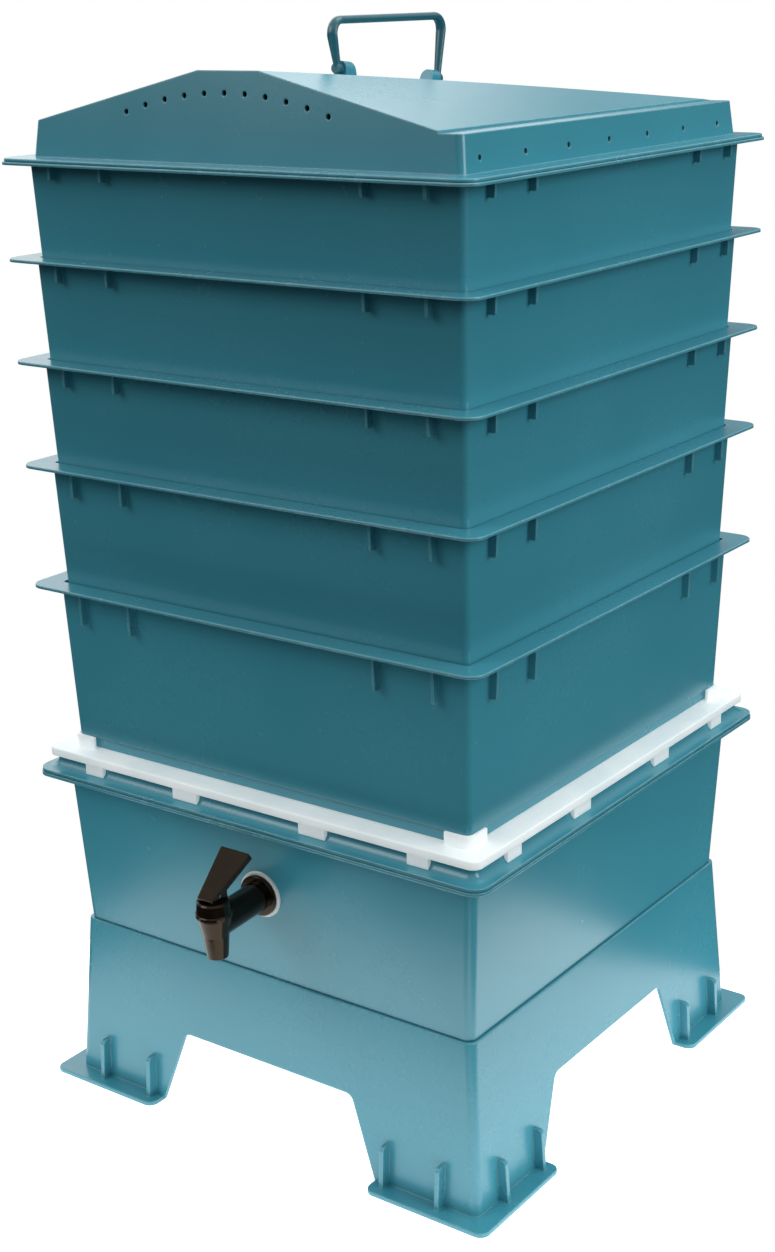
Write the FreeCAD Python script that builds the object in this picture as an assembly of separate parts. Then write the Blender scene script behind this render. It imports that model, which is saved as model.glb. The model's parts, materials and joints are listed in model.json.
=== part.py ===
import FreeCAD, Part
import math
import os

V = FreeCAD.Vector
X_AXIS = V(1, 0, 0)
Y_AXIS = V(0, 1, 0)
Z_AXIS = V(0, 0, 1)

# Driving dimensions, millimetres. Heights are above the floor, halves are half widths.
# The tap faces -Y. The stack is built round its own centre line and moved at the end.

# Stack
BODY_GAP = 0.3
TRAY_RIMS = {"tray_1": 747.0, "tray_2": 677.0, "tray_3": 601.0, "tray_4": 521.5, "tray_5": 426.5}
SEAM_HEIGHT = 139.0
COLLECTOR_RIM = 274.0

# Working trays
TRAY_FLANGE_HALF = 208.2
TRAY_FLANGE_RADIUS = 13.0
TRAY_FLANGE_THICKNESS = 2.2
TRAY_RIM_ROUND = 0.7
TRAY_DEPTH = 135.2
TRAY_TOP_HALF = 191.4
TRAY_BOTTOM_HALF = 186.6
TRAY_CORNER_RADIUS = 5.0
TRAY_WALL = 1.8
TRAY_FLOOR = 3.0
FOOT_BAND_HEIGHT = 9.0
FOOT_BAND_INSET = 1.9
FOOT_BAND_LEDGE = 2.0
FLOOR_HOLE_RADIUS = 4.0
FLOOR_HOLE_PITCH = 32.0
FLOOR_HOLE_ROWS = 11
GUSSET_PLACES = (-165.0, -115.0, 115.0, 165.0)
GUSSET_THICKNESS = 2.0
GUSSET_REACH = 6.5
GUSSET_CORNER_RADIUS = 1.5
GUSSET_DROPS = {"tray_1": 13.0, "tray_2": 17.0, "tray_3": 18.5, "tray_4": 24.0, "tray_5": 30.5}
LEDGE_LEG = 32.0
LEDGE_THICKNESS = 3.0

# Strainer frame
STRAINER_HALF = 205.0
STRAINER_RADIUS = 8.0
STRAINER_PLATE = 3.0
STRAINER_EDGE_ROUND = 1.0
SKIRT_BOTTOM = 284.6
SKIRT_WALL = 2.0
TAB_BOTTOM = 275.9
TAB_PLACES = ((-155.0, 18.0), (-61.0, 24.0), (61.0, 24.0), (155.0, 18.0))
TAB_COVE = ((204.4, 0.0), (203.0, 0.9), (201.6, 2.4), (200.8, 4.4))
TAB_ROOT = 200.6
UPRIGHT_INNER_HALF = 187.5
UPRIGHT_RADIUS = 7.2
UPRIGHT_WALL = 2.2
UPRIGHT_HEIGHT = 9.5
UPRIGHT_LEG = 22.0
SLOT_AREA_HALF = 169.5
SLOT_LENGTH = 40.0
SLOT_WIDTH = 5.0
SLOT_RADIUS = 2.0
SLOT_COLUMNS = 6
SLOT_ROWS = 16

# Collector tray
COLLECTOR_TOP_HALF = 194.5
COLLECTOR_BOTTOM_HALF = 188.0
COLLECTOR_CORNER_RADIUS = 7.0
COLLECTOR_WALL = 2.5
COLLECTOR_FLANGE_HALF = 211.9
COLLECTOR_FLANGE_RADIUS = 12.0
FLANGE_DECK_THICKNESS = 2.2
FLANGE_GROOVE = 0.8
FLANGE_GROOVE_INSET = 1.3
FLANGE_LIP_THICKNESS = 2.5
FLANGE_LIP_PROUD = 0.6
UPSTAND_HALF = 200.0
UPSTAND_RADIUS = 5.0
UPSTAND_TOP = 287.7
COVE_RADIUS = 9.0
SPIGOT_HALF = 180.0
SPIGOT_DEPTH = 12.0
SEAM_ROUND = 0.9

# Stand
STAND_TOP_HALF = 190.0
STAND_BOTTOM_HALF = 199.5
STAND_CORNER_RADIUS = 7.0
STAND_WALL = 3.0
STAND_SHELF_HALF = 181.0
FOOT_FLANGE_HALF = 215.0
FOOT_FLANGE_RADIUS = 8.0
FOOT_FLANGE_THICKNESS = 3.2
FOOT_FLANGE_ROUND = 0.9
ARCH_TOP_HALF = 83.0
ARCH_BOTTOM_HALF = 107.0
ARCH_HEIGHT = 66.0
ARCH_CORNER_RADIUS = 8.0
RIB_PLACES = (-168.0, -117.5, 117.5, 168.0)
RIB_THICKNESS = 3.6
RIB_REACH = 8.0
RIB_TOP = 37.0
RIB_TOP_RADIUS = 4.0

# Lid
LID_FLANGE_HALF = 206.8
LID_FLANGE_RADIUS = 12.0
LID_FLANGE_THICKNESS = 2.2
LID_FLANGE_ROUND = 0.8
LID_WALL_HALF = 189.0
LID_DRAFT = 0.11
LID_CORNER_RADIUS = 5.0
LID_SKIN = 2.2
EAVE_HEIGHT = 774.5
EAVE_STEP = 1.6
RIDGE_HEIGHT = 811.5
GABLE_LEFT = -187.0
GABLE_RIGHT = 168.0
RIDGE_LEFT = -30.5
RIDGE_RIGHT = 20.0
ROOF_BACK = 186.0
ROOF_CROWN = 2.0
LID_PLUG_HALF = 188.5
LID_PLUG_DEPTH = 6.0
LID_PLUG_RADIUS = 4.2
VENT_RADIUS = 2.0
FRONT_VENT_COUNT = 11
FRONT_VENT_PITCH = 17.8
FRONT_VENT_CENTRE = -7.5
FRONT_VENT_TOP = 796.5
FRONT_VENT_DROP = 13.7
SIDE_VENT_COUNT = 7
SIDE_VENT_PITCH = 54.5
SIDE_VENT_CENTRE = -4.5
SIDE_VENT_HEIGHT = 759.0

# Carry handle and its lugs
HANDLE_CENTRE_Y = -4.0
HANDLE_PIVOT_HEIGHT = 801.5
HANDLE_TILT = 5.6
HANDLE_BAR_HEIGHT = 840.8
HANDLE_BAR_THICKNESS = 5.8
HANDLE_BAR_WIDTH = 8.4
HANDLE_FOOT_THICKNESS = 4.8
HANDLE_FOOT_WIDTH = 5.2
HANDLE_FOOT_SPREAD = 62.9
HANDLE_TOP_SPREAD = 70.2
HANDLE_BEND_RADIUS = 9.5
HANDLE_EYE_RADIUS = 3.7
HANDLE_EYE_WIDTH = 5.6
TRUNNION_RADIUS = 2.2
TRUNNION_LENGTH = 8.0
RUNNING_CLEARANCE = 0.05
LUG_GAP = 0.4
LUG_THICKNESS = 9.5
LUG_RADIUS = 5.6
LUG_BUTTRESS = 5.0
LUG_ROOT = -16.0
LUG_SLOPE_FOOT = -10.0

# Tap, in its own frame: y = 0 on the wall's outer face, -y outwards, z up along the wall
TAP_HEIGHT = 209.7
VALVE_REACH = 54.0
WASHER_RADIUS = 18.6
WASHER_THICKNESS = 2.0
WASHER_ROUND = 0.6
COLLAR_RADIUS = 16.4
COLLAR_THICKNESS = 3.5
COLLAR_ROUND = 1.2
BARREL_RADIUS = 11.75
BARREL_BORE = 4.8
SHANK_RADIUS = 9.4
SHANK_LENGTH = 20.0
SHANK_HOLE_RADIUS = 9.6
GASKET_THICKNESS = 2.0
GASKET_RADIUS = 15.5
NUT_ACROSS_FLATS = 28.0
NUT_THICKNESS = 8.0
SPOUT_END = -26.5
SPOUT_END_RADIUS = 8.2
SPOUT_ROOT = -8.0
SPOUT_ROOT_RADIUS = 10.2
SPOUT_BORE = 5.5
SEAT_HEIGHT = -5.0
CHAMBER_RADIUS = 9.5
NECK_RADIUS = 11.5
NECK_TOP = 14.0
BODY_SHOULDER_INSET = 0.8
SEAM_GAP = 0.3
BONNET_BOTTOM = 7.5
BONNET_BAND = 2.2
BONNET_TOP = 20.0
BONNET_BOTTOM_RADIUS = 14.0
BONNET_TOP_RADIUS = 12.5
BONNET_ROUND = 1.2
SPRING_POCKET_TOP = 17.0
SPRING_POCKET_RADIUS = 7.0
STEM_RADIUS = 4.0
STEM_COLLAR_RADIUS = 7.0
STEM_COLLAR_TOP = 1.0
STEM_TIP_RADIUS = 2.95
STEM_TIP_LENGTH = 2.4
BLADE_START = 16.5
BLADE_SHOULDER = 20.4
BLADE_HALF = 2.6
BLADE_THICKNESS = 4.0
SEAL_RADIUS = 8.0
SEAL_TOP = -1.0
SEAL_ROUND = 0.8
SPRING_MEAN_RADIUS = 5.6
SPRING_WIRE_RADIUS = 0.45
SPRING_END_GAP = 0.1
SPRING_TURNS = 7
PIN_RADIUS = 1.5
PIN_HEIGHT = 24.3
HUB_FRONT = 9.0
HUB_REAR = 8.5
HUB_WIDTH = 13.7
CAM_RADIUS = 3.2
HUB_REAR_RADIUS = 1.0
SLOT_CLEARANCE = 0.4
LEVER_SLOT_WIDTH = 4.6
LEVER_SLOT_STEPS = 5
LEVER_TRAVEL = 35.0
PADDLE_TILT = 32.1
PADDLE_LENGTH = 46.0
PADDLE_ROOT_REACH = 10.0
PADDLE_ROOT_HEIGHT = 23.5
PADDLE_ROOT_WIDTH = 13.7
PADDLE_TIP_WIDTH = 28.0
PADDLE_THICKNESS = 5.2
PADDLE_ROUND = 0.6
PADDLE_ROOT_RADIUS = 2.0
PADDLE_TIP_RADIUS = 1.5

# Values that follow from the driving dimensions
TRAY_TAPER = (TRAY_TOP_HALF - TRAY_BOTTOM_HALF) / TRAY_DEPTH
COLLECTOR_FLOOR = SEAM_HEIGHT - SPIGOT_DEPTH + COLLECTOR_WALL
COLLECTOR_TAPER = (COLLECTOR_TOP_HALF - COLLECTOR_BOTTOM_HALF) / (COLLECTOR_RIM - SEAM_HEIGHT)
STAND_TOP = SEAM_HEIGHT - BODY_GAP
STAND_TAPER = (STAND_BOTTOM_HALF - STAND_TOP_HALF) / STAND_TOP
STRAINER_BOTTOM = UPSTAND_TOP + BODY_GAP
STRAINER_TOP = STRAINER_BOTTOM + STRAINER_PLATE
LID_BASE = TRAY_RIMS["tray_1"] + BODY_GAP
TAP_WALL_HALF = COLLECTOR_BOTTOM_HALF + COLLECTOR_TAPER * (TAP_HEIGHT - SEAM_HEIGHT)
WALL_DRAFT = math.degrees(math.atan(COLLECTOR_TAPER))
LUG_FACE = HANDLE_FOOT_SPREAD - HANDLE_EYE_WIDTH / 2 - LUG_GAP
BONNET_FRONT = (VALVE_REACH + BONNET_BOTTOM_RADIUS) * math.cos(math.radians(WALL_DRAFT))
TAP_FRONT = TAP_WALL_HALF + BONNET_FRONT + (BONNET_BOTTOM + BONNET_BAND) * math.sin(math.radians(WALL_DRAFT))
STACK_SHIFT = V(0, (TAP_FRONT - FOOT_FLANGE_HALF) / 2, 0)
FAR = 260.0
MARGIN = 1.0
TOLERANCE = 0.01


def rounded_square(half, radius, z):
    """Closed outline of a square with rounded corners at one height."""
    c = half - radius
    s = radius * math.sqrt(0.5)
    edges = []
    for turn in range(4):
        start = V(half, -c, z)
        end = V(half, c, z)
        middle = V(c + s, c + s, z)
        corner = V(c, half, z)
        side = Part.LineSegment(start, end).toShape()
        bend = Part.Arc(end, middle, corner).toShape()
        for edge in (side, bend):
            edge.rotate(V(0, 0, 0), Z_AXIS, 90 * turn)
            edges.append(edge)
    return Part.Wire(Part.__sortEdges__(edges))


def frustum(z_low, half_low, z_high, half_high, radius):
    """Tapered block with rounded upright corners."""
    low = rounded_square(half_low, radius, z_low)
    high = rounded_square(half_high, radius, z_high)
    return Part.makeLoft([low, high], True, True)


def plate(z_low, z_high, half, radius):
    """Flat plate with rounded corners."""
    face = Part.Face(rounded_square(half, radius, z_low))
    return face.extrude(V(0, 0, z_high - z_low))


def rounded_polygon(points, radii):
    """Closed outline through coplanar points, with an arc at each corner that has a radius."""
    edges = []
    count = len(points)
    trims = []
    for i, corner in enumerate(points):
        back = (points[i - 1] - corner).normalize()
        ahead = (points[(i + 1) % count] - corner).normalize()
        half_angle = back.getAngle(ahead) / 2
        reach = radii[i] / math.tan(half_angle)
        inward = (back + ahead).normalize()
        middle = corner + inward * (radii[i] / math.sin(half_angle) - radii[i])
        trims.append((corner + back * reach, middle, corner + ahead * reach))
    for i in range(count):
        first, middle, last = trims[i]
        if radii[i] > 0:
            edges.append(Part.Arc(first, middle, last).toShape())
        following = trims[(i + 1) % count][0]
        edges.append(Part.LineSegment(last, following).toShape())
    return Part.Wire(edges)


def prism(points, radii, direction):
    """Solid made by pushing a rounded polygon along a direction."""
    return Part.Face(rounded_polygon(points, radii)).extrude(direction)


def four_sides(shape):
    """Copies of a shape on the four sides of the stack."""
    copies = []
    for turn in range(4):
        copy = shape.copy()
        copy.rotate(V(0, 0, 0), Z_AXIS, 90 * turn)
        copies.append(copy)
    return copies


def edges_at(shape, z):
    """Edges that lie flat at one height."""
    edges = []
    for edge in shape.Edges:
        box = edge.BoundBox
        if abs(box.ZMin - z) < TOLERANCE and abs(box.ZMax - z) < TOLERANCE:
            edges.append(edge)
    return edges


def one_solid(shape):
    """The single solid inside a boolean result, with split faces merged."""
    clean = shape.removeSplitter()
    if len(clean.Solids) != 1:
        raise ValueError("expected one solid, found %d" % len(clean.Solids))
    return clean.Solids[0]


def tray_half(depth):
    """Outer half width of a tray's wall at a depth below its rim."""
    return TRAY_TOP_HALF - TRAY_TAPER * depth


def tray_flange():
    """Flat rim plate with a softened top edge."""
    rim = plate(-TRAY_FLANGE_THICKNESS, 0, TRAY_FLANGE_HALF, TRAY_FLANGE_RADIUS)
    return rim.makeFillet(TRAY_RIM_ROUND, edges_at(rim, 0))


def tray_gussets(drop):
    """Thin plates that hold the underside of the rim, two near each end of every side."""
    gussets = []
    top = -TRAY_FLANGE_THICKNESS / 2
    root = tray_half(drop) - TRAY_WALL / 2
    for place in GUSSET_PLACES:
        x = place - GUSSET_THICKNESS / 2
        points = [
            V(x, -root, top),
            V(x, -tray_half(0) - GUSSET_REACH, top),
            V(x, -tray_half(drop) - GUSSET_REACH, -drop),
            V(x, -root, -drop),
        ]
        gusset = prism(points, (0, 0, GUSSET_CORNER_RADIUS, 0), V(GUSSET_THICKNESS, 0, 0))
        gussets.extend(four_sides(gusset))
    return gussets


def tray_cavity():
    """The space inside a tray, with the step above its foot band."""
    step = -TRAY_DEPTH + FOOT_BAND_HEIGHT + FOOT_BAND_LEDGE
    band_half = TRAY_BOTTOM_HALF - FOOT_BAND_INSET - TRAY_WALL
    radius = TRAY_CORNER_RADIUS - TRAY_WALL
    low = plate(-TRAY_DEPTH + TRAY_FLOOR, step + MARGIN, band_half, radius)
    top_half = tray_half(-MARGIN) - TRAY_WALL
    high = frustum(step, tray_half(-step) - TRAY_WALL, MARGIN, top_half, radius)
    return low.fuse(high)


def tray_ledges(depth):
    """Corner ledges that carry the tray above at one depth below the rim."""
    ledges = []
    half = tray_half(depth)
    points = [V(half, half, -depth), V(half - LEDGE_LEG, half, -depth), V(half, half - LEDGE_LEG, -depth)]
    wedge = prism(points, (0, 0, 0), V(0, 0, -LEDGE_THICKNESS))
    trim = plate(-depth - LEDGE_THICKNESS, -depth, half - TRAY_WALL / 2, TRAY_CORNER_RADIUS - TRAY_WALL / 2)
    for ledge in four_sides(wedge):
        ledges.append(ledge.common(trim))
    return ledges


def tray_floor_holes():
    """Round holes through the floor that the worms climb through."""
    holes = []
    first = -FLOOR_HOLE_PITCH * (FLOOR_HOLE_ROWS - 1) / 2
    for row in range(FLOOR_HOLE_ROWS):
        for column in range(FLOOR_HOLE_ROWS):
            x = first + FLOOR_HOLE_PITCH * column
            y = first + FLOOR_HOLE_PITCH * row
            place = V(x, y, -TRAY_DEPTH - MARGIN)
            holes.append(Part.makeCylinder(FLOOR_HOLE_RADIUS, TRAY_FLOOR + 2 * MARGIN, place))
    return Part.makeCompound(holes)


def working_tray(ledge_depth, gusset_drop):
    """One tray with its rim at z = 0."""
    step = -TRAY_DEPTH + FOOT_BAND_HEIGHT
    wall = frustum(step, tray_half(-step), 0, TRAY_TOP_HALF, TRAY_CORNER_RADIUS)
    band_half = TRAY_BOTTOM_HALF - FOOT_BAND_INSET
    band = plate(-TRAY_DEPTH, step, band_half, TRAY_CORNER_RADIUS)
    tray = wall.multiFuse([band, tray_flange()] + tray_gussets(gusset_drop))
    tray = tray.cut(tray_cavity())
    tray = tray.multiFuse(tray_ledges(ledge_depth))
    return one_solid(tray.cut(tray_floor_holes()))


def ledge_depth_for(name):
    """Depth below a tray's rim at which the bottom of the tray above rests."""
    number = int(name.split("_")[1])
    if number == 1:
        return ledge_depth_for("tray_4")
    above = TRAY_RIMS["tray_%d" % (number - 1)]
    return TRAY_RIMS[name] - (above - TRAY_DEPTH) + BODY_GAP


def strainer_tab(place, width):
    """One tab that hangs outside the collector's upstand and follows its cove."""
    x = place - width / 2
    front = TAB_COVE[0][0]
    points = [V(x, -TAB_ROOT, STRAINER_BOTTOM), V(x, -front, STRAINER_BOTTOM)]
    points.extend(V(x, -half, TAB_BOTTOM + rise) for half, rise in TAB_COVE)
    return prism(points, (0,) * len(points), V(width, 0, 0))


def strainer_slots():
    """Drain slots through the middle of the strainer plate."""
    slots = []
    column_pitch = 2 * SLOT_AREA_HALF / SLOT_COLUMNS
    row_pitch = 2 * SLOT_AREA_HALF / SLOT_ROWS
    for column in range(SLOT_COLUMNS):
        for row in range(SLOT_ROWS):
            x = (column - (SLOT_COLUMNS - 1) / 2) * column_pitch
            y = (row - (SLOT_ROWS - 1) / 2) * row_pitch
            z = STRAINER_BOTTOM - MARGIN
            points = [
                V(x - SLOT_LENGTH / 2, y - SLOT_WIDTH / 2, z),
                V(x + SLOT_LENGTH / 2, y - SLOT_WIDTH / 2, z),
                V(x + SLOT_LENGTH / 2, y + SLOT_WIDTH / 2, z),
                V(x - SLOT_LENGTH / 2, y + SLOT_WIDTH / 2, z),
            ]
            slots.append(prism(points, (SLOT_RADIUS,) * 4, V(0, 0, STRAINER_PLATE + 2 * MARGIN)))
    return Part.makeCompound(slots)


def strainer_uprights():
    """Low corner walls that hug the bottom tray."""
    outer_half = UPRIGHT_INNER_HALF + UPRIGHT_WALL
    top = STRAINER_TOP + UPRIGHT_HEIGHT
    low = STRAINER_TOP - MARGIN
    ring = plate(low, top, outer_half, UPRIGHT_RADIUS)
    inner_radius = UPRIGHT_RADIUS - UPRIGHT_WALL
    ring = ring.cut(plate(low - MARGIN, top + MARGIN, UPRIGHT_INNER_HALF, inner_radius))
    keep = outer_half - UPRIGHT_LEG
    corner = Part.makeBox(FAR, FAR, FAR, V(keep, keep, low - MARGIN))
    return [ring.common(block) for block in four_sides(corner)]


def strainer_frame():
    """White frame on the collector: slotted plate, outer skirt, tabs and corner uprights."""
    border = plate(SKIRT_BOTTOM, STRAINER_TOP, STRAINER_HALF, STRAINER_RADIUS)
    border = border.makeFillet(STRAINER_EDGE_ROUND, edges_at(border, STRAINER_TOP))
    inner = STRAINER_HALF - SKIRT_WALL
    hollow = plate(SKIRT_BOTTOM - MARGIN, STRAINER_BOTTOM, inner, STRAINER_RADIUS - SKIRT_WALL)
    frame = border.cut(hollow)
    tabs = []
    for place, width in TAB_PLACES:
        tabs.extend(four_sides(strainer_tab(place, width)))
    frame = frame.multiFuse(tabs + strainer_uprights())
    return one_solid(frame.cut(strainer_slots()))


def collector_half(z):
    """Outer half width of the collector's wall at a height."""
    return COLLECTOR_BOTTOM_HALF + COLLECTOR_TAPER * (z - SEAM_HEIGHT)


def collector_rim():
    """Grooved flange with an upstand and a cove between them."""
    groove_top = COLLECTOR_RIM - FLANGE_DECK_THICKNESS
    deck = plate(groove_top, COLLECTOR_RIM, COLLECTOR_FLANGE_HALF, COLLECTOR_FLANGE_RADIUS)
    upstand = plate(COLLECTOR_RIM - MARGIN, UPSTAND_TOP, UPSTAND_HALF, UPSTAND_RADIUS)
    rim = deck.fuse(upstand)
    cove_edges = []
    for edge in edges_at(rim, COLLECTOR_RIM):
        box = edge.BoundBox
        if max(box.XMax, -box.XMin, box.YMax, -box.YMin) < UPSTAND_HALF + MARGIN:
            cove_edges.append(edge)
    rim = rim.makeFillet(COVE_RADIUS, cove_edges)
    lip_top = groove_top - FLANGE_GROOVE
    groove_half = COLLECTOR_FLANGE_HALF - FLANGE_GROOVE_INSET
    groove = plate(lip_top, groove_top, groove_half, COLLECTOR_FLANGE_RADIUS - FLANGE_GROOVE_INSET)
    lip_half = COLLECTOR_FLANGE_HALF + FLANGE_LIP_PROUD
    lip_radius = COLLECTOR_FLANGE_RADIUS + FLANGE_LIP_PROUD
    lip = plate(lip_top - FLANGE_LIP_THICKNESS, lip_top, lip_half, lip_radius)
    return rim.multiFuse([groove, lip])


def collector_room():
    """The space inside the collector: sump, drafted walls and mouth."""
    radius = COLLECTOR_CORNER_RADIUS - COLLECTOR_WALL
    low = SEAM_HEIGHT + COLLECTOR_WALL
    high = COLLECTOR_RIM + MARGIN
    sump = plate(COLLECTOR_FLOOR, low + MARGIN, SPIGOT_HALF - COLLECTOR_WALL, radius)
    low_half = collector_half(low) - COLLECTOR_WALL
    high_half = collector_half(high) - COLLECTOR_WALL
    drafted = frustum(low, low_half, high, high_half, radius)
    mouth_half = UPSTAND_HALF - COLLECTOR_WALL
    mouth = plate(high + MARGIN, UPSTAND_TOP + MARGIN, mouth_half, UPSTAND_RADIUS - COLLECTOR_WALL)
    throat = plate(COLLECTOR_RIM, high + 2 * MARGIN, high_half, radius)
    return sump.multiFuse([drafted, throat, mouth])


def collector_tray():
    """Liquid tray: drafted walls, locating spigot below and rim above."""
    radius = COLLECTOR_CORNER_RADIUS
    wall = frustum(SEAM_HEIGHT, COLLECTOR_BOTTOM_HALF, COLLECTOR_RIM, COLLECTOR_TOP_HALF, radius)
    wall = wall.makeFillet(SEAM_ROUND, edges_at(wall, SEAM_HEIGHT))
    spigot = plate(SEAM_HEIGHT - SPIGOT_DEPTH, SEAM_HEIGHT + MARGIN, SPIGOT_HALF, radius)
    tray = wall.multiFuse([spigot, collector_rim()])
    tray = tray.cut(collector_room())
    shank_hole = barrel_cylinder(SHANK_HOLE_RADIUS, -SHANK_LENGTH, SHANK_LENGTH)
    return one_solid(tray.cut(on_wall(shank_hole)))


def stand_half(z):
    """Outer half width of the stand's wall at a height."""
    return STAND_BOTTOM_HALF - STAND_TAPER * z


def arch_cutter():
    """Trapezoid opening with rounded upper corners, between two legs."""
    below = -MARGIN
    foot = ARCH_BOTTOM_HALF - below * (ARCH_BOTTOM_HALF - ARCH_TOP_HALF) / ARCH_HEIGHT
    points = [
        V(-foot, -FAR, below),
        V(-ARCH_TOP_HALF, -FAR, ARCH_HEIGHT),
        V(ARCH_TOP_HALF, -FAR, ARCH_HEIGHT),
        V(foot, -FAR, below),
    ]
    return prism(points, (0, ARCH_CORNER_RADIUS, ARCH_CORNER_RADIUS, 0), V(0, FAR - STAND_TOP_HALF / 2, 0))


def stand_ribs():
    """Upright ribs with curved tops, two on each side of every leg."""
    ribs = []
    base = FOOT_FLANGE_THICKNESS - MARGIN
    for place in RIB_PLACES:
        x = place - RIB_THICKNESS / 2
        points = [
            V(x, -stand_half(base) + STAND_WALL / 2, base),
            V(x, -stand_half(base) - RIB_REACH, base),
            V(x, -stand_half(RIB_TOP) - RIB_REACH, RIB_TOP),
            V(x, -stand_half(RIB_TOP) + STAND_WALL / 2, RIB_TOP),
        ]
        rib = prism(points, (0, 0, RIB_TOP_RADIUS, 0), V(RIB_THICKNESS, 0, 0))
        ribs.extend(four_sides(rib))
    return ribs


def foot_flange():
    """Flat corner plate under one leg, with rounded outer corners."""
    inner = STAND_TOP_HALF
    radius = FOOT_FLANGE_RADIUS
    points = [
        V(ARCH_BOTTOM_HALF, -FOOT_FLANGE_HALF, 0),
        V(FOOT_FLANGE_HALF, -FOOT_FLANGE_HALF, 0),
        V(FOOT_FLANGE_HALF, -ARCH_BOTTOM_HALF, 0),
        V(inner, -ARCH_BOTTOM_HALF, 0),
        V(inner, -inner, 0),
        V(ARCH_BOTTOM_HALF, -inner, 0),
    ]
    foot = prism(points, (radius, radius, radius, 0, 0, 0), V(0, 0, FOOT_FLANGE_THICKNESS))
    return foot.makeFillet(FOOT_FLANGE_ROUND, edges_at(foot, FOOT_FLANGE_THICKNESS))


def stand():
    """Skirt with four legs, foot flanges and the shelf that carries the collector."""
    outer = frustum(0, STAND_BOTTOM_HALF, STAND_TOP, STAND_TOP_HALF, STAND_CORNER_RADIUS)
    outer = outer.makeFillet(SEAM_ROUND, edges_at(outer, STAND_TOP))
    body = outer.multiFuse(four_sides(foot_flange()) + stand_ribs())
    radius = STAND_CORNER_RADIUS - STAND_WALL
    shelf_bottom = STAND_TOP - STAND_WALL
    low_half = stand_half(-MARGIN) - STAND_WALL
    inner = frustum(-MARGIN, low_half, shelf_bottom, stand_half(shelf_bottom) - STAND_WALL, radius)
    mouth = plate(shelf_bottom - MARGIN, STAND_TOP + MARGIN, STAND_SHELF_HALF, radius)
    body = body.cut(inner.fuse(mouth))
    for cutter in four_sides(arch_cutter()):
        body = body.cut(cutter)
    return one_solid(body)


def roof_solid(inset, z_low):
    """Lid volume: drafted walls, front gable and the crowned slope to the back."""
    top = RIDGE_HEIGHT + 2 * ROOF_CROWN
    half_low = LID_WALL_HALF - LID_DRAFT * (z_low - LID_BASE) - inset
    half_high = LID_WALL_HALF - LID_DRAFT * (top - LID_BASE) - inset
    walls = frustum(z_low, half_low, top, half_high, LID_CORNER_RADIUS - inset)
    eave = EAVE_HEIGHT - inset
    ridge = RIDGE_HEIGHT - inset
    below = z_low - MARGIN
    gable_points = [
        V(-FAR, -FAR, below),
        V(-FAR, -FAR, eave),
        V(GABLE_LEFT, -FAR, eave),
        V(RIDGE_LEFT, -FAR, ridge),
        V(RIDGE_RIGHT, -FAR, ridge),
        V(GABLE_RIGHT, -FAR, eave + EAVE_STEP),
        V(GABLE_RIGHT, -FAR, eave),
        V(FAR, -FAR, eave),
        V(FAR, -FAR, below),
    ]
    gable = prism(gable_points, (0,) * len(gable_points), V(0, 2 * FAR, 0))
    front = V(-FAR, -ROOF_BACK, ridge)
    middle = V(-FAR, 0, (ridge + eave) / 2 + ROOF_CROWN)
    back = V(-FAR, ROOF_BACK, eave)
    outline = [
        Part.LineSegment(V(-FAR, -FAR, below), V(-FAR, -FAR, ridge)),
        Part.LineSegment(V(-FAR, -FAR, ridge), front),
        Part.Arc(front, middle, back),
        Part.LineSegment(back, V(-FAR, FAR, eave)),
        Part.LineSegment(V(-FAR, FAR, eave), V(-FAR, FAR, below)),
        Part.LineSegment(V(-FAR, FAR, below), V(-FAR, -FAR, below)),
    ]
    wire = Part.Wire([segment.toShape() for segment in outline])
    slope = Part.Face(wire).extrude(V(2 * FAR, 0, 0))
    return walls.common(gable).common(slope)


def on_ridge(shape):
    """Moves a piece from the handle's frame, y along its pivot axis, to the sloping ridge."""
    placed = shape.copy()
    placed.rotate(V(0, 0, 0), X_AXIS, -HANDLE_TILT)
    placed.translate(V(0, HANDLE_CENTRE_Y, HANDLE_PIVOT_HEIGHT))
    return placed


def handle_lug(side):
    """Round-topped lug for one end of the handle, with a sloping inner side and a blind hole."""
    outer = side * LUG_FACE
    inner = outer - side * (LUG_THICKNESS + LUG_BUTTRESS)
    points = [
        V(-LUG_RADIUS, outer, LUG_ROOT),
        V(-LUG_RADIUS, outer, LUG_RADIUS),
        V(LUG_RADIUS, outer, LUG_RADIUS),
        V(LUG_RADIUS, outer, LUG_ROOT),
    ]
    arch = LUG_RADIUS - TOLERANCE
    lug = prism(points, (0, arch, arch, 0), V(0, inner - outer, 0))
    slope = [
        V(-FAR, inner, LUG_SLOPE_FOOT),
        V(-FAR, inner + side * LUG_BUTTRESS, LUG_RADIUS),
        V(-FAR, inner + side * LUG_BUTTRESS, 2 * LUG_RADIUS),
        V(-FAR, inner - side * LUG_BUTTRESS, 2 * LUG_RADIUS),
        V(-FAR, inner - side * LUG_BUTTRESS, LUG_SLOPE_FOOT),
    ]
    return on_ridge(lug.cut(prism(slope, (0,) * len(slope), V(2 * FAR, 0, 0))))


def trunnion_hole(side):
    """Blind hole in a lug's outer face."""
    start = V(0, side * (LUG_FACE + MARGIN), 0)
    depth = TRUNNION_LENGTH + 2 * MARGIN
    return on_ridge(Part.makeCylinder(TRUNNION_RADIUS + RUNNING_CLEARANCE, depth, start, V(0, -side, 0)))


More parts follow.
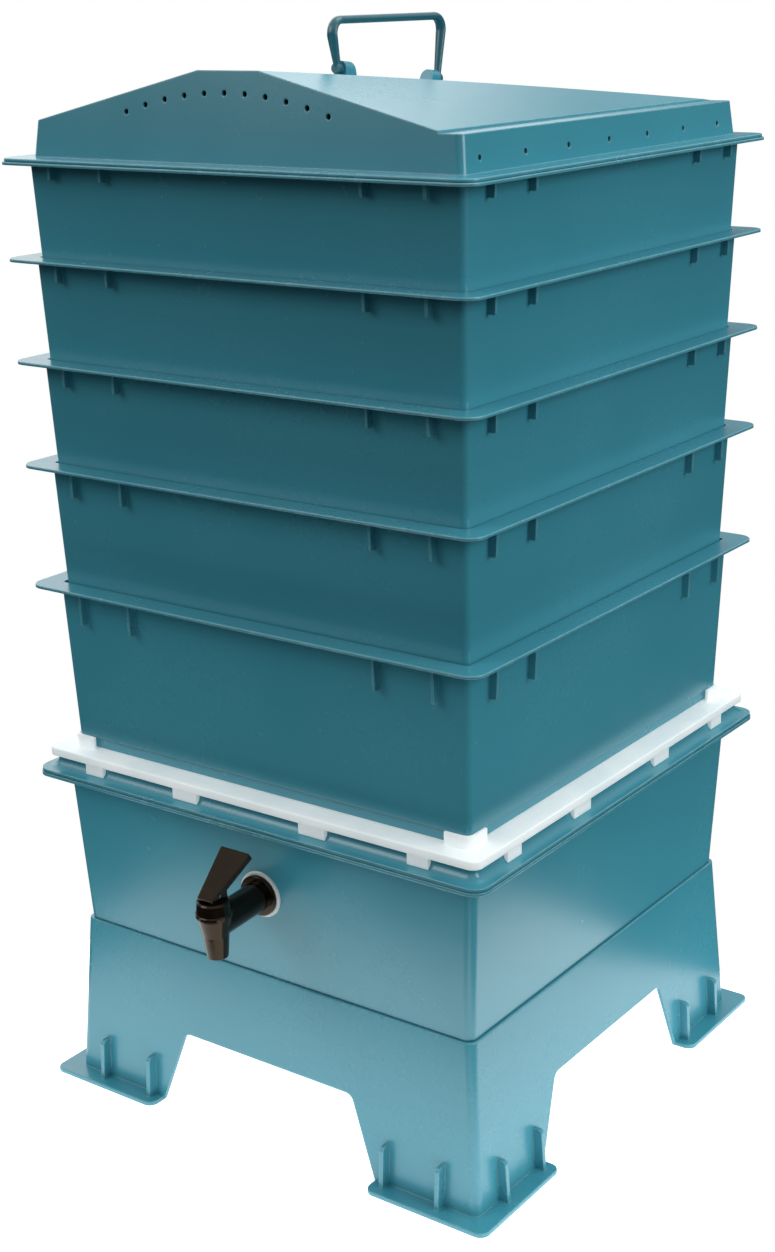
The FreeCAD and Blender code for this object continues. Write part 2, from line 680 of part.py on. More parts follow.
def lid_vents():
    """Air holes: an arched row in the front gable and a level row in each side wall."""
    holes = []
    outside = LID_WALL_HALF + MARGIN
    length = outside - LID_WALL_HALF * (1 - LID_DRAFT)
    last = (FRONT_VENT_COUNT - 1) / 2
    for i in range(FRONT_VENT_COUNT):
        step = i - last
        x = FRONT_VENT_CENTRE + step * FRONT_VENT_PITCH
        z = FRONT_VENT_TOP - FRONT_VENT_DROP * (step / last) ** 2
        holes.append(Part.makeCylinder(VENT_RADIUS, length, V(x, -outside, z), Y_AXIS))
    for i in range(SIDE_VENT_COUNT):
        y = SIDE_VENT_CENTRE + (i - (SIDE_VENT_COUNT - 1) / 2) * SIDE_VENT_PITCH
        for side in (-1, 1):
            start = V(side * outside, y, SIDE_VENT_HEIGHT)
            holes.append(Part.makeCylinder(VENT_RADIUS, length, start, V(-side, 0, 0)))
    return Part.makeCompound(holes)


def lid():
    """Gabled lid with its flange, locating plug, vents and handle lugs."""
    flange = plate(LID_BASE, LID_BASE + LID_FLANGE_THICKNESS, LID_FLANGE_HALF, LID_FLANGE_RADIUS)
    flange = flange.makeFillet(LID_FLANGE_ROUND, edges_at(flange, LID_BASE + LID_FLANGE_THICKNESS))
    plug_bottom = LID_BASE - LID_PLUG_DEPTH
    plug = plate(plug_bottom, LID_BASE, LID_PLUG_HALF, LID_PLUG_RADIUS)
    room_half = LID_PLUG_HALF - LID_SKIN
    plug_room = plate(plug_bottom - MARGIN, LID_BASE + MARGIN, room_half, LID_PLUG_RADIUS - LID_SKIN)
    body = roof_solid(0, LID_BASE).multiFuse([flange, plug, handle_lug(-1), handle_lug(1)])
    body = body.cut(roof_solid(LID_SKIN, LID_BASE - MARGIN / 2).fuse(plug_room))
    for side in (-1, 1):
        body = body.cut(trunnion_hole(side))
    return one_solid(body.cut(lid_vents()))


def oval(centre, along, thickness, width):
    """Closed oval across a direction in the plane of the handle, with its width along X."""
    across = along.cross(X_AXIS)
    ellipse = Part.Ellipse(centre + X_AXIS * (width / 2), centre + across * (thickness / 2), centre)
    return Part.Wire([ellipse.toShape()])


def carry_handle():
    """Folding bail: oval bar with splayed, tapered legs, eyes and inward trunnions on a sloping axis."""
    middle = V(0, HANDLE_CENTRE_Y, HANDLE_PIVOT_HEIGHT)
    tilt = FreeCAD.Rotation(X_AXIS, -HANDLE_TILT)
    bends = []
    ovals = []
    pieces = []
    for side in (-1, 1):
        foot = middle + tilt.multVec(V(0, side * HANDLE_FOOT_SPREAD, 0))
        shoulder = V(0, HANDLE_CENTRE_Y + side * HANDLE_TOP_SPREAD, HANDLE_BAR_HEIGHT)
        down = (foot - shoulder).normalize()
        half_angle = down.getAngle(V(0, -side, 0)) / 2
        reach = HANDLE_BEND_RADIUS / math.tan(half_angle)
        inward = (down + V(0, -side, 0)).normalize()
        bend = shoulder + inward * (HANDLE_BEND_RADIUS / math.sin(half_angle) - HANDLE_BEND_RADIUS)
        leg_top = shoulder + down * reach
        bar_end = shoulder + V(0, -side * reach, 0)
        bends.append((leg_top, bend, bar_end))
        ovals.append(oval(leg_top, down, HANDLE_BAR_THICKNESS, HANDLE_BAR_WIDTH))
        foot_oval = oval(foot, down, HANDLE_FOOT_THICKNESS, HANDLE_FOOT_WIDTH)
        pieces.append(Part.makeLoft([ovals[-1], foot_oval], True, True))
        start = V(0, side * (HANDLE_FOOT_SPREAD + HANDLE_EYE_WIDTH / 2), 0)
        inwards = V(0, -side, 0)
        reach_in = HANDLE_EYE_WIDTH + TRUNNION_LENGTH
        pieces.append(on_ridge(Part.makeCylinder(HANDLE_EYE_RADIUS, HANDLE_EYE_WIDTH, start, inwards)))
        pieces.append(on_ridge(Part.makeCylinder(TRUNNION_RADIUS, reach_in, start, inwards)))
    front, rear = bends
    path = Part.Wire([
        Part.Arc(*front).toShape(),
        Part.LineSegment(front[2], rear[2]).toShape(),
        Part.Arc(*reversed(rear)).toShape(),
    ])
    bar = path.makePipeShell([ovals[0]], True, False)
    return one_solid(bar.multiFuse(pieces))


def on_wall(shape):
    """Moves a tap piece from the tap's own frame to the drafted front wall."""
    placed = shape.copy()
    placed.rotate(V(0, 0, 0), X_AXIS, WALL_DRAFT)
    placed.translate(V(0, -TAP_WALL_HALF, TAP_HEIGHT))
    return placed


def barrel_cylinder(radius, y_start, y_end):
    """Cylinder along the tap's barrel axis, from one distance to a larger one."""
    return Part.makeCylinder(radius, y_end - y_start, V(0, y_start, 0), Y_AXIS)


def valve_cylinder(radius, z_low, z_high):
    """Cylinder along the tap's valve axis."""
    return Part.makeCylinder(radius, z_high - z_low, V(0, -VALVE_REACH, z_low))


def cross_cylinder(radius, half_length, y, z):
    """Cylinder across the tap, parallel to the lever's pin."""
    return Part.makeCylinder(radius, 2 * half_length, V(-half_length, y, z), X_AXIS)


def cross_box(half_width, y_low, y_high, z_low, z_high):
    """Box that is centred across the tap."""
    corner = V(-half_width, y_low, z_low)
    return Part.makeBox(2 * half_width, y_high - y_low, z_high - z_low, corner)


def valve_revolve(profile):
    """Solid of revolution about the valve axis through (radius, height) points."""
    points = [V(r, 0, z) for r, z in profile]
    face = Part.Face(rounded_polygon(points, (0,) * len(points)))
    solid = face.revolve(V(0, 0, 0), Z_AXIS, 360)
    solid.translate(V(0, -VALVE_REACH, 0))
    return solid


def tap_body():
    """Spout, valve chamber, barrel, collar and shank in one moulding."""
    shoulder = BONNET_BOTTOM_RADIUS - BODY_SHOULDER_INSET
    seam = BONNET_BOTTOM - SEAM_GAP
    valve = valve_revolve([
        (0, SPOUT_END), (SPOUT_END_RADIUS, SPOUT_END), (SPOUT_ROOT_RADIUS, SPOUT_ROOT),
        (shoulder, seam - BODY_SHOULDER_INSET), (shoulder, seam),
        (NECK_RADIUS, seam), (NECK_RADIUS, NECK_TOP), (0, NECK_TOP),
    ])
    collar_front = -WASHER_THICKNESS - COLLAR_THICKNESS
    collar = Part.makeCylinder(COLLAR_RADIUS, COLLAR_THICKNESS)
    collar = collar.makeFillet(COLLAR_ROUND, edges_at(collar, COLLAR_THICKNESS))
    collar.rotate(V(0, 0, 0), X_AXIS, 90)
    collar.translate(V(0, -WASHER_THICKNESS, 0))
    barrel = barrel_cylinder(BARREL_RADIUS, -VALVE_REACH, -WASHER_THICKNESS)
    barrel = barrel.cut(valve_cylinder(BONNET_BOTTOM_RADIUS + SEAM_GAP, seam, BARREL_RADIUS + MARGIN))
    shank = barrel_cylinder(SHANK_RADIUS, collar_front, SHANK_LENGTH)
    body = valve.multiFuse([barrel, collar, shank])
    body = body.cut(valve_cylinder(CHAMBER_RADIUS, SEAT_HEIGHT, NECK_TOP + MARGIN))
    body = body.cut(valve_cylinder(SPOUT_BORE, SPOUT_END - MARGIN, SEAT_HEIGHT + MARGIN))
    body = body.cut(barrel_cylinder(BARREL_BORE, -VALVE_REACH, SHANK_LENGTH + MARGIN))
    return one_solid(body)


def tap_bonnet():
    """Screw cap over the valve chamber, with a spring pocket and a guide bore."""
    bore = STEM_RADIUS + RUNNING_CLEARANCE
    neck = NECK_RADIUS + RUNNING_CLEARANCE
    inner_top = NECK_TOP + BODY_GAP
    band_top = BONNET_BOTTOM + BONNET_BAND
    bonnet = valve_revolve([
        (neck, BONNET_BOTTOM), (BONNET_BOTTOM_RADIUS, BONNET_BOTTOM), (BONNET_BOTTOM_RADIUS, band_top),
        (BONNET_BOTTOM_RADIUS - BODY_SHOULDER_INSET, band_top + BODY_SHOULDER_INSET),
        (BONNET_TOP_RADIUS, BONNET_TOP - BONNET_ROUND), (BONNET_TOP_RADIUS - BONNET_ROUND, BONNET_TOP),
        (bore, BONNET_TOP), (bore, SPRING_POCKET_TOP), (SPRING_POCKET_RADIUS, SPRING_POCKET_TOP),
        (SPRING_POCKET_RADIUS, inner_top), (neck, inner_top),
    ])
    return one_solid(bonnet)


def stem_blade(half_width, grow, z_low):
    """Flat blade of the stem with its rounded head at the pin, or the same shape grown for a slot."""
    wide = STEM_RADIUS + grow
    narrow = BLADE_HALF + grow
    base = cross_box(half_width, -wide, wide, z_low, BLADE_SHOULDER + grow)
    shaft = cross_box(half_width, -narrow, narrow, z_low, PIN_HEIGHT)
    blade = base.multiFuse([shaft, cross_cylinder(narrow, half_width, 0, PIN_HEIGHT)])
    blade.translate(V(0, -VALVE_REACH, 0))
    return blade


def tap_stem():
    """Valve stem: seal tip, spring collar, guide rod and the flat blade under the lever."""
    tip = valve_cylinder(STEM_TIP_RADIUS, SEAL_TOP - STEM_TIP_LENGTH, SEAL_TOP + MARGIN)
    collar = valve_cylinder(STEM_COLLAR_RADIUS, SEAL_TOP, STEM_COLLAR_TOP)
    rod = valve_cylinder(STEM_RADIUS, SEAL_TOP, BLADE_START)
    blade = stem_blade(BLADE_THICKNESS / 2, 0, BLADE_START - MARGIN)
    blade = blade.common(valve_cylinder(STEM_RADIUS, 0, 2 * PIN_HEIGHT))
    stem = tip.multiFuse([collar, rod, blade])
    return one_solid(stem.cut(cross_cylinder(PIN_RADIUS, BLADE_THICKNESS, -VALVE_REACH, PIN_HEIGHT)))


def stem_seal():
    """Rubber cup on the stem's tip that closes the seat above the spout."""
    low = SEAT_HEIGHT + BODY_GAP
    seal = valve_cylinder(SEAL_RADIUS, low, SEAL_TOP)
    seal = seal.makeFillet(SEAL_ROUND, edges_at(seal, low))
    socket_low = SEAL_TOP - STEM_TIP_LENGTH - RUNNING_CLEARANCE
    return one_solid(seal.cut(valve_cylinder(STEM_TIP_RADIUS + RUNNING_CLEARANCE, socket_low, 0)))


def tap_spring():
    """Return spring between the stem's collar and the bonnet, with the turns it really has."""
    low = STEM_COLLAR_TOP + SPRING_WIRE_RADIUS + SPRING_END_GAP
    high = SPRING_POCKET_TOP - SPRING_WIRE_RADIUS - SPRING_END_GAP
    pitch = (high - low) / SPRING_TURNS
    helix = Part.makeHelix(pitch, high - low, SPRING_MEAN_RADIUS)
    wire_end = Part.Circle(V(SPRING_MEAN_RADIUS, 0, 0), Y_AXIS, SPRING_WIRE_RADIUS)
    spring = Part.Wire(helix).makePipeShell([Part.Wire([wire_end.toShape()])], True, True)
    spring.translate(V(0, -VALVE_REACH, low))
    print("spring pitch %.2f, gap between turns %.2f" % (pitch, pitch - 2 * SPRING_WIRE_RADIUS))
    return one_solid(spring)


def lever_pin():
    """Pin through the lever's ears and the stem's blade."""
    return cross_cylinder(PIN_RADIUS, HUB_WIDTH / 2, -VALVE_REACH, PIN_HEIGHT)


def lever_paddle():
    """Flared flat paddle, tilted back over the barrel, placed by the root of its top face."""
    points = [
        V(-PADDLE_ROOT_WIDTH / 2, 0, -PADDLE_THICKNESS),
        V(PADDLE_ROOT_WIDTH / 2, 0, -PADDLE_THICKNESS),
        V(PADDLE_TIP_WIDTH / 2, PADDLE_LENGTH, -PADDLE_THICKNESS),
        V(-PADDLE_TIP_WIDTH / 2, PADDLE_LENGTH, -PADDLE_THICKNESS),
    ]
    radii = (PADDLE_ROOT_RADIUS, PADDLE_ROOT_RADIUS, PADDLE_TIP_RADIUS, PADDLE_TIP_RADIUS)
    paddle = prism(points, radii, V(0, 0, PADDLE_THICKNESS))
    paddle = paddle.makeFillet(PADDLE_ROUND, edges_at(paddle, 0))
    paddle.rotate(V(0, 0, 0), X_AXIS, PADDLE_TILT)
    paddle.translate(V(0, -VALVE_REACH - PADDLE_ROOT_REACH, PADDLE_ROOT_HEIGHT))
    return paddle


def lever_hub():
    """Forked block under the paddle; its rounded front corner is the cam that rolls on the bonnet."""
    x = -HUB_WIDTH / 2
    front = -VALVE_REACH - HUB_FRONT
    rear = -VALVE_REACH + HUB_REAR
    slope = math.tan(math.radians(PADDLE_TILT))
    front_top = PADDLE_ROOT_HEIGHT + slope * (PADDLE_ROOT_REACH - HUB_FRONT)
    rear_top = front_top + slope * (HUB_FRONT + HUB_REAR) - PADDLE_THICKNESS
    points = [
        V(x, front, BONNET_TOP + BODY_GAP),
        V(x, front, front_top),
        V(x, rear, rear_top),
        V(x, rear, BONNET_TOP + BODY_GAP),
    ]
    return prism(points, (CAM_RADIUS, 0, 0, HUB_REAR_RADIUS), V(HUB_WIDTH, 0, 0))


def tap_lever():
    """Lever: paddle and forked hub, slotted for the stem's blade through its whole travel."""
    paddle = lever_paddle()
    below = cross_box(FAR, -VALVE_REACH - FAR, -VALVE_REACH, -FAR, BONNET_TOP + BODY_GAP + CAM_RADIUS)
    lever = lever_hub().fuse(paddle.cut(below))
    pivot = V(0, -VALVE_REACH, PIN_HEIGHT)
    for step in range(LEVER_SLOT_STEPS):
        slot = stem_blade(LEVER_SLOT_WIDTH / 2, SLOT_CLEARANCE, 0)
        slot.rotate(pivot, X_AXIS, -LEVER_TRAVEL * step / (LEVER_SLOT_STEPS - 1))
        lever = lever.cut(slot)
    return one_solid(lever.cut(cross_cylinder(PIN_RADIUS + RUNNING_CLEARANCE, HUB_WIDTH, pivot.y, pivot.z)))


def tap_outer_washer():
    """White washer between the collar and the wall."""
    ring = Part.makeCylinder(WASHER_RADIUS, WASHER_THICKNESS)
    ring = ring.makeFillet(WASHER_ROUND, edges_at(ring, WASHER_THICKNESS))
    ring.rotate(V(0, 0, 0), X_AXIS, 90)
    return one_solid(ring.cut(barrel_cylinder(SHANK_HOLE_RADIUS, -WASHER_THICKNESS - MARGIN, MARGIN)))


def tap_inner_gasket():
    """Rubber gasket between the wall's inner face and the nut."""
    back = COLLECTOR_WALL + GASKET_THICKNESS
    ring = barrel_cylinder(GASKET_RADIUS, COLLECTOR_WALL, back)
    return one_solid(ring.cut(barrel_cylinder(SHANK_HOLE_RADIUS, 0, back + MARGIN)))


def tap_nut():
    """Hexagonal nut on the tap's shank, inside the collector."""
    corner = NUT_ACROSS_FLATS / 2 / math.cos(math.pi / 6)
    start = COLLECTOR_WALL + GASKET_THICKNESS
    points = []
    for i in range(6):
        angle = math.pi / 3 * i
        points.append(V(corner * math.cos(angle), start, corner * math.sin(angle)))
    nut = prism(points, (0,) * 6, V(0, NUT_THICKNESS, 0))
    bore_end = start + NUT_THICKNESS + MARGIN
    bore = barrel_cylinder(SHANK_RADIUS + RUNNING_CLEARANCE, start - MARGIN, bore_end)
    return one_solid(nut.cut(bore))


def build():
    """Every piece by node name, in the stack's frame."""
    pieces = {
        "stand": stand(),
        "collector_tray": collector_tray(),
        "strainer_frame": strainer_frame(),
        "lid": lid(),
        "carry_handle": carry_handle(),
    }
    for name, rim in TRAY_RIMS.items():
        tray = working_tray(ledge_depth_for(name), GUSSET_DROPS[name])
        tray.translate(V(0, 0, rim))
        pieces[name] = tray
    tap_pieces = {
        "tap_body": tap_body(),
        "tap_bonnet": tap_bonnet(),
        "tap_stem": tap_stem(),
        "stem_seal": stem_seal(),
        "tap_spring": tap_spring(),
        "lever_pin": lever_pin(),
        "tap_lever": tap_lever(),
        "tap_outer_washer": tap_outer_washer(),
        "tap_inner_gasket": tap_inner_gasket(),
        "tap_nut": tap_nut(),
    }
    for name, shape in tap_pieces.items():
        pieces[name] = on_wall(shape)
    return pieces


os.makedirs("parts", exist_ok=True)
for node, shape in build().items():
    shape.translate(STACK_SHIFT)
    shape.exportStep("parts/%s.step" % node)
    box = shape.BoundBox
    print("%-18s valid %s volume %10.1f  x %.1f %.1f  y %.1f %.1f  z %.1f %.1f" % (
        node, shape.isValid(), shape.Volume, box.XMin, box.XMax, box.YMin, box.YMax, box.ZMin, box.ZMax))
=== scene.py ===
import json
import math
import bpy
from mathutils import Matrix, Vector


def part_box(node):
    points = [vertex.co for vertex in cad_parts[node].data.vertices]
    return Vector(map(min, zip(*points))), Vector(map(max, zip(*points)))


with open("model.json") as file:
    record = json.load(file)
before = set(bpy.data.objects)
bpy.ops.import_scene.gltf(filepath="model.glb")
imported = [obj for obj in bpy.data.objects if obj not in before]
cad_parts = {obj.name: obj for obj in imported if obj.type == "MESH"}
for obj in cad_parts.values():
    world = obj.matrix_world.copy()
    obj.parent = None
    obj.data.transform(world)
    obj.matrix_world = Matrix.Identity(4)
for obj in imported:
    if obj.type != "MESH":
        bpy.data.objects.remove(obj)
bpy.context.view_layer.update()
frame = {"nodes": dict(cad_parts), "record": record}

# The photograph's viewpoint, fitted to the corners of the tray rims
PHOTO_WIDTH = 775
PHOTO_HEIGHT = 1252
FOCAL_PIXELS = 1980.5
CENTRE_PIXEL = 403.4
SENSOR = 36.0
CAMERA_AZIMUTH = math.radians(35.76)
CAMERA_ELEVATION = math.radians(17.91)
CAMERA_ROLL = math.radians(-1.16)
CAMERA_DISTANCE = 1.601
AIM_HEIGHT = 0.3705

# The floor's corners and its glow
FLOOR_LOW = (-0.36, -0.44)
FLOOR_HIGH = (0.42, 0.27)
FLOOR_GLOW = 1.06

# Brightness of the room that the surfaces see, at the horizon and overhead, and of its backdrop
ROOM_LOW = 0.03
ROOM_HIGH = 0.66
BACKDROP = 1.3
BACKDROP_AZIMUTH = math.radians(27)

# Surface detail: radii and heights in metres, noise in features per metre
PLASTIC_EDGE = 0.0014
PLASTIC_GRAIN = 1500.0
PLASTIC_FLOW = 40.0
PLASTIC_RELIEF = 0.00003
# How near a corner must be to keep the painted edge highlight off an edge
HIGHLIGHT_CORNER_REACH = 0.004
WHITE_EDGE = 0.0006
WHITE_GLOW = 0.27
BLACK_EDGE = 0.0006
WASHER_EDGE = 0.0004

STACK_LOW, STACK_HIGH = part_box("tray_5")
STACK_CENTRE = (STACK_LOW + STACK_HIGH) / 2


class Value:
    """A number or colour that varies from place to place: a socket that takes Python's operators."""

    def __init__(self, nodes, socket):
        self.nodes = nodes
        self.socket = socket

    def math(self, operation, *inputs):
        return self.nodes.node("ShaderNodeMath", {"operation": operation}, inputs)

    def __add__(self, other):
        return self.math("ADD", self, other)

    def __radd__(self, other):
        return self.math("ADD", other, self)

    def __mul__(self, other):
        return self.math("MULTIPLY", self, other)

    def __rmul__(self, other):
        return self.math("MULTIPLY", other, self)


class Nodes:
    """A node tree that is built up one node at a time."""

    def __init__(self, tree):
        self.tree = tree

    def node(self, kind, settings=None, inputs=(), output=0):
        """Adds a node; inputs go by name or in order, and each is a number, a colour or a Value."""
        made = self.tree.nodes.new(kind)
        for key, setting in (settings or {}).items():
            setattr(made, key, setting)
        pairs = inputs.items() if isinstance(inputs, dict) else enumerate(inputs)
        for key, given in pairs:
            if isinstance(given, Value):
                self.tree.links.new(given.socket, made.inputs[key])
            else:
                made.inputs[key].default_value = given
        return Value(self, made.outputs[output])

    def ramp(self, value, low, high, start=0.0, end=1.0):
        """Start below low, end above high, smooth between."""
        settings = {"interpolation_type": "SMOOTHSTEP"}
        inputs = {"Value": value, "From Min": low, "From Max": high, "To Min": start, "To Max": end}
        return self.node("ShaderNodeMapRange", settings, inputs)


class Finish(Nodes):
    """A material and the node tree that makes it."""

    def __init__(self, name):
        self.material = bpy.data.materials.new(name)
        self.material.use_nodes = True
        super().__init__(self.material.node_tree)
        self.shader = self.tree.nodes["Principled BSDF"]

    def place(self, scale=(1, 1, 1)):
        """The point in the row's frame, in metres, with its axes scaled."""
        point = self.node("ShaderNodeTexCoord", output=3)
        return self.node("ShaderNodeVectorMath", {"operation": "MULTIPLY"}, (point, scale))

    def noise(self, scale, detail=2.0, roughness=0.5, stretch=(1, 1, 1)):
        """Smooth noise from 0 to 1; scale is in features per metre."""
        inputs = {"Vector": self.place(stretch), "Scale": scale, "Detail": detail,
                  "Roughness": roughness}
        return self.node("ShaderNodeTexNoise", None, inputs)

    def mix(self, amount, first, second):
        """Colour between two colours."""
        inputs = {0: amount, 6: first, 7: second}
        return self.node("ShaderNodeMix", {"data_type": "RGBA"}, inputs, 2)

    def bump(self, height, distance, strength=1.0, normal=None):
        """Normal from a height; distance is the height's full size in metres."""
        inputs = {"Height": height, "Distance": distance, "Strength": strength}
        if normal is not None:
            inputs["Normal"] = normal
        return self.node("ShaderNodeBump", None, inputs)

    def rounded(self, radius):
        """Normal that rounds every hard edge by a moulding's small radius."""
        return self.node("ShaderNodeBevel", {"samples": 4}, {"Radius": radius})

    def edges(self, rounded):
        """1 along a moulding's outer edges, 0 on its flat faces and in its corners; the mask of the
        painted edge highlights.
        """
        turned = self.node("ShaderNodeVectorMath", {"operation": "DOT_PRODUCT"},
                           (rounded, self.node("ShaderNodeNewGeometry", output=1)), 1)
        clear = self.node("ShaderNodeAmbientOcclusion", {"samples": 4}, {"Distance": HIGHLIGHT_CORNER_REACH}, 1)
        return self.ramp(turned, 0.99, 0.9) * self.ramp(clear, 0.55, 0.8)

    def set(self, **sockets):
        """Sets the shader's sockets; words are joined by underscores."""
        for key, given in sockets.items():
            socket = self.shader.inputs[key.replace("_", " ")]
            if isinstance(given, Value):
                self.tree.links.new(given.socket, socket)
            else:
                socket.default_value = given
        return self.material


def shade(red, green, blue):
    """A colour given as the screen shows it, 0 to 255, as the linear colour that shaders use."""
    linear = []
    for value in (red, green, blue):
        part = value / 255
        linear.append(part / 12.92 if part <= 0.04045 else ((part + 0.055) / 1.055) ** 2.4)
    return (*linear, 1.0)


def satin_plastic(name, low, high, edge_highlight):
    """Satin moulded plastic: fine grain, faint flow marks, and outer edges made lighter in patches by
    a painted highlight.
    """
    finish = Finish(name)
    cloud = finish.ramp(finish.noise(6.0, 2.0), 0.3, 0.7)
    flow = finish.noise(PLASTIC_FLOW, 3.0, 0.6, (1, 1, 0.16))
    patch_noise = finish.ramp(finish.noise(70.0, 3.0), 0.3, 0.75)
    rounded = finish.rounded(PLASTIC_EDGE)
    tone = finish.mix(cloud, low, high)
    # Painted highlight: outer edges turn towards the lighter colour in patches, but not in corners.
    tone = finish.mix(finish.edges(rounded) * (0.6 + patch_noise * 0.4), tone, edge_highlight)
    height = finish.noise(PLASTIC_GRAIN, 1.0) * 0.4 + flow * 0.6
    return finish.set(
        Base_Color=tone,
        Roughness=0.24 + cloud * 0.03 + patch_noise * 0.02,
        IOR=1.6,
        Normal=finish.bump(height, PLASTIC_RELIEF, 0.2, rounded),
    )


def teal_plastic():
    """The plastic of the trays, the lid and the stand."""
    # The last colour is the painted highlight along outer edges.
    return satin_plastic("teal_plastic", shade(62, 144, 162), shade(67, 149, 167),
                         shade(150, 206, 214))


def dark_teal_plastic():
    """The handle's plastic, a shade darker."""
    # The last colour is the painted highlight along outer edges.
    return satin_plastic("dark_teal_plastic", shade(36, 96, 108), shade(41, 102, 114),
                         shade(110, 168, 176))


def white_plastic():
    """Natural translucent plastic, milky and a little uneven in thickness, brightened by a painted
    glow.
    """
    finish = Finish("white_plastic")
    cloud = finish.ramp(finish.noise(18.0, 3.0), 0.3, 0.72)
    tone = finish.mix(cloud, shade(226, 236, 238), shade(242, 247, 247))
    return finish.set(
        Base_Color=tone,
        Roughness=0.34 + cloud * 0.1,
        IOR=1.5,
        Subsurface_Weight=0.5,
        Subsurface_Radius=(0.006, 0.007, 0.008),
        Subsurface_Scale=1.0,
        # Painted light: the plastic glows with its own tone, though no lamp is in it.
        Emission_Color=tone,
        Emission_Strength=WHITE_GLOW,
        Normal=finish.bump(finish.noise(900.0, 2.0), 0.0001, 0.3, finish.rounded(WHITE_EDGE)),
    )


def black_plastic():
    """Polished black plastic with warm-tinted reflections, and a painted warm highlight along its
    outer edges.
    """
    finish = Finish("black_plastic")
    cloud = finish.ramp(finish.noise(90.0, 3.0), 0.35, 0.7)
    rounded = finish.rounded(BLACK_EDGE)
    tone = finish.mix(cloud, shade(12, 8, 6), shade(20, 13, 9))
    # Painted highlight: outer edges turn warm brown.
    tone = finish.mix(finish.edges(rounded) * 0.5, tone, shade(92, 72, 50))
    return finish.set(
        Base_Color=tone,
        Roughness=0.13 + cloud * 0.07,
        IOR=1.5,
        Specular_IOR_Level=0.36,
        Specular_Tint=(1.0, 0.74, 0.5, 1.0),
        Normal=finish.bump(finish.noise(420.0, 2.0), 0.00004, 0.3, rounded),
    )


def white_washer():
    """Smooth white nylon."""
    finish = Finish("white_washer")
    cloud = finish.ramp(finish.noise(60.0, 2.0), 0.35, 0.7)
    return finish.set(
        Base_Color=finish.mix(cloud, shade(232, 236, 234), shade(246, 248, 247)),
        Roughness=0.3 + cloud * 0.08,
        Normal=finish.bump(finish.noise(1200.0), 0.00005, 0.3, finish.rounded(WASHER_EDGE)),
    )


def black_rubber():
    """Matt black rubber with a fine moulded grain."""
    finish = Finish("black_rubber")
    grain = finish.noise(1500.0, 3.0)
    return finish.set(
        Base_Color=finish.mix(grain, shade(26, 26, 27), shade(40, 40, 41)),
        Roughness=0.7 + grain * 0.15,
        Normal=finish.bump(grain, 0.0001, 0.5),
    )


def steel():
    """Plain drawn steel wire and pin."""
    finish = Finish("steel")
    drawn = finish.noise(700.0, 2.0, 0.5, (0.2, 1, 1))
    return finish.set(
        Base_Color=finish.mix(drawn, shade(150, 152, 154), shade(196, 198, 200)),
        Metallic=1.0,
        Roughness=0.24 + drawn * 0.16,
        Normal=finish.bump(drawn, 0.00003, 0.4),
    )


FINISHES = {
    "teal_plastic": teal_plastic,
    "dark_teal_plastic": dark_teal_plastic,
    "white_plastic": white_plastic,
    "black_plastic": black_plastic,
    "white_washer": white_washer,
    "black_rubber": black_rubber,
    "steel": steel,
}


def finish_nodes():
    """Gives every CAD node the finish of its slot in the record."""
    made = {}
    for entry in frame["record"]["subparts"]:
        name = entry["material_slot"]
        if name not in made:
            made[name] = FINISHES[name]()
        node = frame["nodes"][entry["node"]]
        node.data.materials.clear()
        node.data.materials.append(made[name])


def pale_floor():
    """Plain pale floor under the object, lit evenly from within so that it shows no edge."""
    mesh = bpy.data.meshes.new("floor")
    (left, front), (right, back) = FLOOR_LOW, FLOOR_HIGH
    corners = [(left, front, 0.0), (right, front, 0.0), (right, back, 0.0), (left, back, 0.0)]
    mesh.from_pydata(corners, [], [(0, 1, 2, 3)])
    floor = bpy.data.objects.new("floor", mesh)
    bpy.context.scene.collection.objects.link(floor)
    finish = Finish("pale_floor")
    cloud = finish.noise(3.0)
    material = finish.set(
        Base_Color=finish.mix(cloud, shade(238, 239, 240), shade(246, 247, 248)),
        Roughness=0.7 + cloud * 0.1,
        Emission_Color=finish.mix(cloud, shade(252, 252, 253), shade(255, 255, 255)),
        Emission_Strength=FLOOR_GLOW,
    )
    mesh.materials.append(material)


def soft_light(name, place, target, size, power, colour=(1, 1, 1)):
    """Square area light that points at a target."""
    lamp = bpy.data.lights.new(name, "AREA")
    lamp.shape = "SQUARE"
    lamp.size = size
    lamp.energy = power
    lamp.color = colour
    light = bpy.data.objects.new(name, lamp)
    light.location = place
    light.rotation_mode = "QUATERNION"
    light.rotation_quaternion = (Vector(target) - Vector(place)).to_track_quat("-Z", "Y")
    bpy.context.scene.collection.objects.link(light)


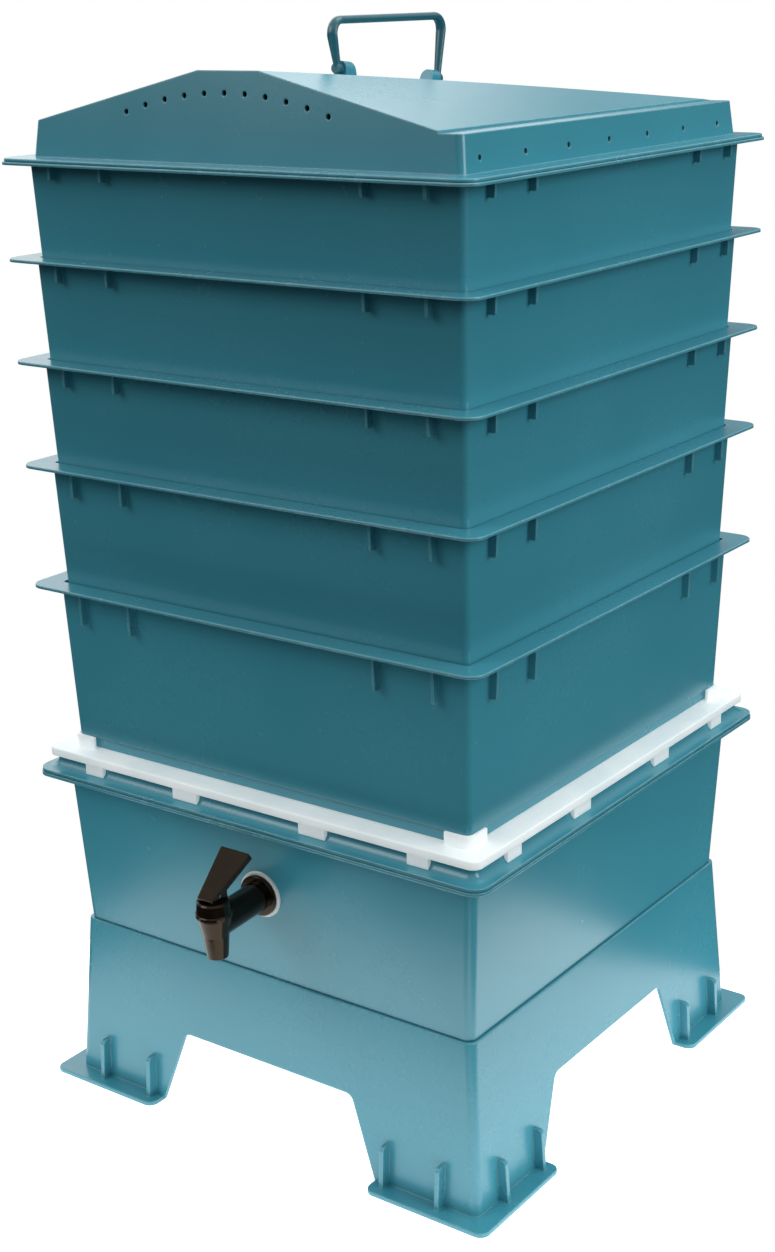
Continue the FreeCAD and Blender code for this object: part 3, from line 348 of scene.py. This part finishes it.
def studio_world():
    """White behind the object; its surfaces see a dim room with a backdrop behind the left side."""
    world = bpy.data.worlds.new("studio")
    world.use_nodes = True
    nodes = Nodes(world.node_tree)
    direction = nodes.node("ShaderNodeTexCoord")
    aside = (-math.cos(BACKDROP_AZIMUTH), -math.sin(BACKDROP_AZIMUTH), 0.0)
    left = nodes.node("ShaderNodeVectorMath", {"operation": "DOT_PRODUCT"}, (direction, aside), 1)
    behind = nodes.node("ShaderNodeSeparateXYZ", None, (direction,), 1)
    height = nodes.node("ShaderNodeSeparateXYZ", None, (direction,), 2)
    backdrop = nodes.ramp(left, -0.02, 0.1) * nodes.ramp(behind, -0.12, 0.1)
    backdrop = backdrop * nodes.ramp(height, -0.1, 0.05) * nodes.ramp(height, 0.9, 0.5)
    room = nodes.ramp(height, 0.0, 0.55, ROOM_LOW, ROOM_HIGH) + backdrop * BACKDROP
    lit = nodes.node("ShaderNodeBackground", None, {"Strength": room, "Color": (1, 1, 1, 1)})
    shown = nodes.node("ShaderNodeBackground", None, {"Strength": 1.0, "Color": (1, 1, 1, 1)})
    camera_ray = nodes.node("ShaderNodeLightPath")
    surface = nodes.node("ShaderNodeMixShader", None, (camera_ray, lit, shown))
    world.node_tree.links.new(surface.socket, world.node_tree.nodes["World Output"].inputs["Surface"])
    bpy.context.scene.world = world


def studio_lights():
    """Soft lights from the right, from the front left and from above."""
    soft_light("right_softbox", (1.9, 0.1, 1.2), (0, 0, 0.55), 1.0, 16.0, (0.92, 0.98, 1.0))
    soft_light("front_softbox", (-1.1, -1.4, 1.6), (0, 0, 0.7), 1.0, 9.5)
    soft_light("top_softbox", (0.3, 0.5, 2.4), (0, 0, 0.4), 1.2, 13.0)


def photo_camera():
    """Camera at the photograph's place, with its small shift and tilt."""
    azimuth, elevation = CAMERA_AZIMUTH, CAMERA_ELEVATION
    back = Vector((math.sin(azimuth) * math.cos(elevation), -math.cos(azimuth) * math.cos(elevation),
                   math.sin(elevation)))
    right = Vector((math.cos(azimuth), math.sin(azimuth), 0.0))
    up = back.cross(right)
    rolled_right = right * math.cos(CAMERA_ROLL) + up * math.sin(CAMERA_ROLL)
    rolled_up = up * math.cos(CAMERA_ROLL) - right * math.sin(CAMERA_ROLL)
    turn = Matrix((rolled_right, rolled_up, back)).transposed()
    aim = Vector((STACK_CENTRE.x, STACK_CENTRE.y, AIM_HEIGHT))
    lens = bpy.data.cameras.new("camera")
    lens.sensor_width = SENSOR
    lens.lens = FOCAL_PIXELS / PHOTO_HEIGHT * SENSOR
    lens.shift_x = (PHOTO_WIDTH / 2 - CENTRE_PIXEL) / PHOTO_HEIGHT
    camera = bpy.data.objects.new("camera", lens)
    camera.location = aim + back * CAMERA_DISTANCE
    camera.rotation_mode = "QUATERNION"
    camera.rotation_quaternion = turn.to_quaternion()
    bpy.context.scene.collection.objects.link(camera)
    bpy.context.scene.camera = camera


photo_camera()
finish_nodes()
pale_floor()
studio_world()
studio_lights()
bpy.context.scene.view_settings.view_transform = "Standard"
